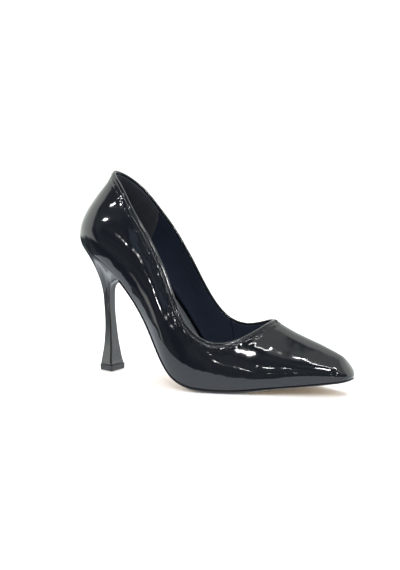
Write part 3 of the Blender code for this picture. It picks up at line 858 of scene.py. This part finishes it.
def build_stitching(upper):
    mesh = upper.data
    verts = [Vector((v.co[0] / MM + ORIGIN_X, v.co[1] / MM + ORIGIN_Y, v.co[2] / MM)) for v in mesh.vertices]
    tree = BVHTree.FromPolygons(verts, [tuple(p.vertices) for p in mesh.polygons])
    points, faces = [], []
    inset = STITCH_D + EDGE_DROP * 0.6
    line = RIM_P - RIM_OUT * inset
    closed = np.concatenate([line, line[:1]])
    norms = np.concatenate([RIM_N, RIM_N[:1]])
    stitch_run(tree, closed, norms, 1.7, 0.6, 0.24, 0.04, points, faces)
    return make("topline_stitching", points, faces)


# ---------------------------------------------------------------- materials
def new_material(name):
    m = bpy.data.materials.new(name)
    m.use_nodes = True
    m.node_tree.nodes.clear()
    return m, m.node_tree.nodes, m.node_tree.links


def material(name, colour, rough, spread=0.0, grain=(), second=None, patch=60.0, metal=0.0, coat=0.0,
             coat_rough=0.05, sheen=0.0, spec=0.5):
    """A procedural finish: two tones mixed by noise, wear in the roughness, and layers of fine relief.

    grain is a list of (kind, size in mm, height in mm); spread is how much the roughness wanders."""
    m, nodes, links = new_material(name)
    out = nodes.new("ShaderNodeOutputMaterial")
    bsdf = nodes.new("ShaderNodeBsdfPrincipled")
    links.new(bsdf.outputs[0], out.inputs[0])
    bsdf.inputs["Metallic"].default_value = metal
    bsdf.inputs["Coat Weight"].default_value = coat
    bsdf.inputs["Coat Roughness"].default_value = coat_rough
    bsdf.inputs["Sheen Weight"].default_value = sheen
    bsdf.inputs["Specular IOR Level"].default_value = spec
    coords = nodes.new("ShaderNodeTexCoord")

    def noise_node(size, detail=4.0):
        t = nodes.new("ShaderNodeTexNoise")
        t.inputs["Scale"].default_value = 1000.0 / size
        t.inputs["Detail"].default_value = detail
        links.new(coords.outputs["Object"], t.inputs["Vector"])
        return t
    ramp = nodes.new("ShaderNodeValToRGB")
    ramp.color_ramp.elements[0].position, ramp.color_ramp.elements[1].position = 0.35, 0.65
    ramp.color_ramp.elements[0].color = (*colour, 1)
    ramp.color_ramp.elements[1].color = (*(second or [c * 1.12 for c in colour]), 1)
    links.new(noise_node(patch).outputs[0], ramp.inputs[0])
    links.new(ramp.outputs[0], bsdf.inputs["Base Color"])
    wear = nodes.new("ShaderNodeMapRange")
    wear.inputs["To Min"].default_value = max(rough - spread, 0.02)
    wear.inputs["To Max"].default_value = rough + spread
    links.new(noise_node(patch * 0.35, 6.0).outputs[0], wear.inputs[0])
    links.new(wear.outputs[0], bsdf.inputs["Roughness"])
    last = None
    for kind, size, height in grain:
        if kind == "noise":
            t = noise_node(size, 3.0)
        elif kind == "weave":
            t = nodes.new("ShaderNodeTexWave")
            t.inputs["Scale"].default_value = 160.0 / size
            t.inputs["Distortion"].default_value = 1.5
            links.new(coords.outputs["Object"], t.inputs["Vector"])
        else:
            t = nodes.new("ShaderNodeTexVoronoi")
            t.inputs["Scale"].default_value = 1000.0 / size
            links.new(coords.outputs["Object"], t.inputs["Vector"])
        bump = nodes.new("ShaderNodeBump")
        bump.inputs["Strength"].default_value = 1.0
        bump.inputs["Distance"].default_value = height * MM
        links.new(t.outputs[1] if kind == "weave" else t.outputs[0], bump.inputs["Height"])
        if last:
            links.new(last.outputs[0], bump.inputs["Normal"])
        last = bump
    if last:
        links.new(last.outputs[0], bsdf.inputs["Normal"])
    return m


FINISH = {
    "upper_patent_leather": material("patent_leather", (0.0035, 0.0045, 0.0065), 0.065, 0.02,
                                     [("noise", 9.0, 0.01), ("noise", 1.2, 0.0005)], patch=40, coat=0.12,
                                     coat_rough=0.03, spec=0.5),
    "lining_leather": material("lining_leather", (0.013, 0.019, 0.036), 0.5, 0.06,
                               [("cells", 0.7, 0.02), ("noise", 4, 0.03)], patch=14, spec=0.35),
    "heel_grip_suede": material("heel_grip_suede", (0.015, 0.0195, 0.028), 0.75, 0.08,
                                [("noise", 0.35, 0.05), ("noise", 3, 0.05)],
                                second=(0.022, 0.027, 0.037), patch=5, sheen=0.08),
    "tape_fabric": material("tape_fabric", (0.62, 0.6, 0.55), 0.8, 0.05, [("weave", 0.5, 0.05)], patch=4),
    "puff_fabric": material("puff_fabric", (0.55, 0.5, 0.42), 0.7, 0.05, [("weave", 0.6, 0.05)], patch=6),
    "counter_board": material("counter_board", (0.42, 0.33, 0.22), 0.75, 0.06,
                              [("noise", 0.8, 0.05)], patch=6),
    "insole_board": material("insole_board", (0.4, 0.29, 0.18), 0.8, 0.05, [("noise", 0.6, 0.05)], patch=5),
    "shank_board": material("shank_board", (0.2, 0.12, 0.06), 0.75, 0.05, [("noise", 0.7, 0.05)], patch=5),
    "spring_steel": material("spring_steel", (0.4, 0.42, 0.46), 0.32, 0.06,
                             [("noise", 0.8, 0.01)], patch=10, metal=1),
    "brass": material("brass", (0.6, 0.44, 0.16), 0.3, 0.06, [("noise", 0.8, 0.01)], patch=3, metal=1),
    "filler_felt": material("filler_felt", (0.12, 0.11, 0.1), 0.95, 0.03, [("noise", 0.5, 0.1)], patch=3),
    "sock_leather": material("sock_leather", (0.1, 0.112, 0.125), 0.5, 0.06,
                             [("cells", 0.6, 0.02), ("noise", 5, 0.04)], patch=12, spec=0.4),
    "pad_foam": material("pad_foam", (0.7, 0.64, 0.45), 0.9, 0.04, [("cells", 0.5, 0.08)], patch=6),
    "outsole_resin": material("outsole_resin", (0.48, 0.35, 0.2), 0.5, 0.08, [("noise", 1.5, 0.03)],
                              second=(0.42, 0.29, 0.16), patch=9),
    "outsole_edge": material("outsole_edge_paint", (0.006, 0.006, 0.008), 0.3, 0.06,
                             [("noise", 1.2, 0.015)], patch=8),
    "heel_plastic": material("heel_lacquer", (0.012, 0.013, 0.015), 0.2, 0.05,
                             [("noise", 6.0, 0.01)], patch=20,
                             coat=0.15, coat_rough=0.12),
    "top_piece_rubber": material("top_piece_rubber", (0.008, 0.008, 0.009), 0.5, 0.08,
                                 [("noise", 0.6, 0.02)], patch=4),
    "steel": material("steel", (0.5, 0.51, 0.53), 0.35, 0.05, [("noise", 0.8, 0.01)], patch=4, metal=1),
    "thread": material("thread", (0.02, 0.023, 0.028), 0.3, 0.05,
                       [("noise", 0.3, 0.03)], patch=1.5, sheen=0.1),
}


def dress(obj, *materials):
    obj.data.materials.clear()
    for m in materials:
        obj.data.materials.append(m)


def place(obj, nodes, slot, finish=None):
    dress(obj, FINISH[finish or slot])
    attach(obj, "root")
    if nodes:
        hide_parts(*nodes)
    return obj


upper = build_upper()
place(upper, ["upper", "topline_tape"], "upper_patent_leather")
for piece, node, slot in build_linings():
    place(piece, [node], slot)

sock = pad_layer("sock_lining_skin", -1.0, 2.0, 3.7, 3.45, 4.15, sock_lift, crown=0.25, edge=0.35,
                 n_along=170, n_across=17)
place(sock, ["sock_lining"], "sock_leather")
heel_pad = pad_layer("heel_pad_skin", -1.0, 29 / NOSE_X, 7.4, 4.1, 5.15, None, crown=0.2, edge=0.4)
place(heel_pad, ["heel_pad_foam"], "pad_foam")
ball_pad = pad_layer("ball_pad_skin", 85 / NOSE_X, 140 / NOSE_X, 7.4, 3.5, 4.45, None, crown=0.2, edge=0.4)
place(ball_pad, ["ball_pad_foam"], "pad_foam")

outsole = build_outsole()
place(outsole, ["outsole"], "outsole_resin")
outsole.data.materials.append(FINISH["outsole_edge"])
for polygon in outsole.data.polygons:
    px, py = polygon.center[0] / MM + ORIGIN_X, polygon.center[1] / MM + ORIGIN_Y
    side = 1 if py > centre(px) else -1
    if px < NOSE_X:
        inset = float(radius[side](px)) - abs(py - centre(px))
    else:
        a = math.atan2(px - NOSE_X, abs(py - centre(NOSE_X)))
        rim = polar(a, float(radius[side](NOSE_X)), TOE_ROUND)
        inset = rim - math.hypot(px - NOSE_X, py - centre(NOSE_X))
    if inset < EDGE_PAINT:
        polygon.material_index = 1

place(build_heel(), ["heel_block"], "heel_plastic")
place(build_top_piece(), ["top_piece"], "top_piece_rubber")
place(build_stitching(upper), [], "upper_patent_leather", "thread")

SLOT_OF = {s["node"]: s["material_slot"] for s in frame["record"]["subparts"]}
for name, node in frame["nodes"].items():
    dress(node, FINISH[SLOT_OF[name]])


# ---------------------------------------------------------------- floor, light and camera
def direction(azimuth, elevation):
    a, e = math.radians(azimuth), math.radians(elevation)
    return Vector((math.sin(a) * math.cos(e), -math.cos(a) * math.cos(e), math.sin(e)))


TARGET = Vector((-0.007, 0.0008, 0.0748))
CAMERA_AZ, CAMERA_EL, CAMERA_FAR = 31.86, 7.17, 0.8457


def flat(name, low, high, z, m):
    """A level rectangle between two corners."""
    mesh = bpy.data.meshes.new(name)
    corners = [(low[0], low[1], z), (high[0], low[1], z), (high[0], high[1], z), (low[0], high[1], z)]
    mesh.from_pydata(corners, [], [(0, 1, 2, 3)])
    obj = bpy.data.objects.new(name, mesh)
    bpy.context.scene.collection.objects.link(obj)
    dress(obj, m)
    return obj


def paper(name):
    return material(name, (0.86, 0.86, 0.86), 0.9, 0.02, [("noise", 40, 0.02)],
                    second=(0.87, 0.87, 0.87), patch=400, spec=0.1)


def only_reflected(obj):
    obj.visible_camera = obj.visible_diffuse = obj.visible_shadow = obj.visible_transmission = False


floor = flat("floor", (-9, -9), (9, 9), -0.0002, paper("paper_floor"))
floor.visible_glossy = False
# painted reflection: the table is paper that also glows a bluish light, and only the shoe's gloss sees it
table = flat("table_reflection", (-0.27, -0.32), (0.5, 1.4), -0.0003, paper("paper_table_glow"))
table_glow = next(n for n in table.data.materials[0].node_tree.nodes if n.type == "BSDF_PRINCIPLED")
table_glow.inputs["Emission Color"].default_value = (0.5, 0.62, 0.74, 1)
table_glow.inputs["Emission Strength"].default_value = 0.9
only_reflected(table)

camera_data = bpy.data.cameras.new("camera")
camera_data.sensor_width = 36
camera_data.sensor_fit = "AUTO"
camera_data.lens = 69.4
camera_data.clip_end = 50
camera = bpy.data.objects.new("camera", camera_data)
bpy.context.scene.collection.objects.link(camera)
camera.location = TARGET + direction(CAMERA_AZ, CAMERA_EL) * CAMERA_FAR
camera.rotation_euler = direction(CAMERA_AZ, CAMERA_EL).to_track_quat("Z", "Y").to_euler()
bpy.context.scene.camera = camera


def softbox(name, toward, far, width, height, power, aim=(0, 0, 0.06)):
    """An area light in the direction toward, facing the shoe."""
    data = bpy.data.lights.new(name, "AREA")
    data.shape = "RECTANGLE"
    data.size, data.size_y, data.energy = width, height, power
    light = bpy.data.objects.new(name, data)
    bpy.context.scene.collection.objects.link(light)
    way = Vector(toward).normalized()
    light.location = Vector(aim) + way * far
    light.rotation_euler = way.to_track_quat("Z", "Y").to_euler()
    return light


ROOM_R = 3.0


def room_material():
    """The studio as the gloss sees it: bright behind the shoe and overhead, dim and uneven in front."""
    m, nodes, links = new_material("studio_room")
    out, glow = nodes.new("ShaderNodeOutputMaterial"), nodes.new("ShaderNodeEmission")
    coords = nodes.new("ShaderNodeTexCoord")

    def noise_of(scale, detail):
        t = nodes.new("ShaderNodeTexNoise")
        t.inputs["Scale"].default_value, t.inputs["Detail"].default_value = scale, detail
        links.new(coords.outputs["Object"], t.inputs["Vector"])
        return t.outputs[0]

    def lobe(weights, start, end):
        dot = nodes.new("ShaderNodeVectorMath")
        dot.operation = "DOT_PRODUCT"
        dot.inputs[1].default_value = [w / ROOM_R for w in weights]
        links.new(coords.outputs["Object"], dot.inputs[0])
        wobble = nodes.new("ShaderNodeMath")
        wobble.operation = "MULTIPLY_ADD"
        wobble.inputs[1].default_value = 0.16
        links.new(noise_of(1.3, 3), wobble.inputs[0])
        links.new(dot.outputs["Value"], wobble.inputs[2])
        step = nodes.new("ShaderNodeMapRange")
        step.interpolation_type = "SMOOTHSTEP"
        step.inputs["From Min"].default_value = start + 0.08
        step.inputs["From Max"].default_value = end + 0.08
        links.new(wobble.outputs[0], step.inputs[0])
        return step.outputs[0]

    def both(operation, first, second):
        node = nodes.new("ShaderNodeMath")
        node.operation = operation
        links.new(first, node.inputs[0])
        links.new(second, node.inputs[1])
        return node.outputs[0]

    left = both("MINIMUM", lobe((-0.53, 0.85, -0.25), -0.16, -0.04), lobe((0, 0, 1), -0.12, -0.02))
    behind = both("MINIMUM", lobe((-0.3, 1, 0), -0.06, 0.1), lobe((0, 0, 1), -0.12, -0.02))
    panel = both("MINIMUM", lobe((1, 0, -0.15), -0.05, 0.05), lobe((0, 1, 0.74), -0.05, 0.05))
    panel = both("MINIMUM", panel, lobe((0, 0, 1), 0.3, 0.5))
    most = both("MAXIMUM", left, behind)
    dim = nodes.new("ShaderNodeValToRGB")
    dim.color_ramp.elements[0].position, dim.color_ramp.elements[0].color = 0.38, (0.045, 0.055, 0.075, 1)
    dim.color_ramp.elements[1].position, dim.color_ramp.elements[1].color = 0.66, (0.26, 0.3, 0.31, 1)
    links.new(noise_of(0.8, 2), dim.inputs[0])
    mix = nodes.new("ShaderNodeMix")
    mix.data_type = "RGBA"
    mix.inputs[7].default_value = (1.9, 2.0, 1.88, 1)
    half = nodes.new("ShaderNodeMix")
    half.data_type = "RGBA"
    half.inputs[7].default_value = (0.95, 1.0, 0.95, 1)
    links.new(panel, half.inputs[0])
    links.new(dim.outputs[0], half.inputs[6])
    links.new(most, mix.inputs[0])
    links.new(half.outputs[2], mix.inputs[6])
    links.new(mix.outputs[2], glow.inputs[0])
    glow.inputs["Strength"].default_value = 1.0
    links.new(glow.outputs[0], out.inputs[0])
    return m


def room():
    """A sphere round the set that only reflections see."""
    steps, rows = 48, 24
    points = [(0, 0, -ROOM_R)]
    for j in range(1, rows):
        e = -math.pi / 2 + math.pi * j / rows
        across, height = ROOM_R * math.cos(e), ROOM_R * math.sin(e)
        points += [(across * math.cos(a), across * math.sin(a), height)
                   for a in (2 * math.pi * i / steps for i in range(steps))]
    points.append((0, 0, ROOM_R))
    faces = [(0, 1 + (i + 1) % steps, 1 + i) for i in range(steps)]
    for j in range(rows - 2):
        for i in range(steps):
            a, b = 1 + j * steps + i, 1 + j * steps + (i + 1) % steps
            faces.append((a, b, b + steps, a + steps))
    top = len(points) - 1
    faces += [(top, top - steps + i, top - steps + (i + 1) % steps) for i in range(steps)]
    mesh = bpy.data.meshes.new("studio_room")
    mesh.from_pydata(points, [], faces)
    obj = bpy.data.objects.new("studio_room", mesh)
    bpy.context.scene.collection.objects.link(obj)
    dress(obj, room_material())
    only_reflected(obj)


def tube(name, first, last, width, power, far=2.2):
    """A thin strip light from one direction to another."""
    a, b = Vector(first).normalized() * far, Vector(last).normalized() * far
    middle, along = (a + b) / 2, b - a
    light = softbox(name, middle, middle.length, along.length, width, power)
    z = middle.normalized()
    x = (along - z * along.dot(z)).normalized()
    light.rotation_euler = Matrix((x, z.cross(x), z)).transposed().to_euler()
    return light


room()
# the small lights that make the sharp highlights
tube("quarter_light_1", (-0.44, -0.58, 0.72), (-0.48, -0.56, 0.66), 0.07, 2.4)
softbox("quarter_light_2", (-0.48, -0.71, 0.52), 2.2, 0.13, 0.15, 5)
softbox("quarter_light_3", (-0.4, -0.86, 0.3), 2.2, 0.05, 0.05, 0.9)
tube("quarter_tube", (-0.3, -0.9, 0.3), (-0.24, -0.905, 0.345), 0.016, 0.25)
cool = softbox("cool_window", (-0.19, -0.86, 0.47), 2.2, 0.25, 0.35, 0.12)
cool.data.color = (0.6, 0.75, 1.0)
tube("vamp_light", (0.33, -0.7, 0.63), (0.48, -0.74, 0.47), 0.09, 9)
tube("panel_edge_1", (0.52, -0.43, 0.72), (0.38, -0.56, 0.74), 0.022, 2.2)
tube("panel_edge_2", (0.38, -0.56, 0.74), (0.29, -0.57, 0.77), 0.022, 0.8)
tube("panel_edge_3", (0.29, -0.57, 0.77), (0.235, -0.51, 0.83), 0.022, 0.8)
softbox("panel_end", (0.225, -0.49, 0.84), 2.2, 0.06, 0.06, 1.6)
softbox("ball_light_1", (0.25, -0.88, 0.4), 2.2, 0.03, 0.03, 0.3)
softbox("ball_light_2", (0.31, -0.94, 0.18), 2.2, 0.03, 0.02, 0.2)
top_box = softbox("top_box", (0.0, 0.45, 1.0), 2.1, 2.2, 1.4, 34)
top_box.visible_glossy = False

world = bpy.data.worlds.new("studio")
world.use_nodes = True
bpy.context.scene.world = world
world.node_tree.nodes["Background"].inputs[0].default_value = (1, 1, 1, 1)
world.node_tree.nodes["Background"].inputs[1].default_value = 1.3
bpy.context.scene.view_settings.view_transform = "Standard"
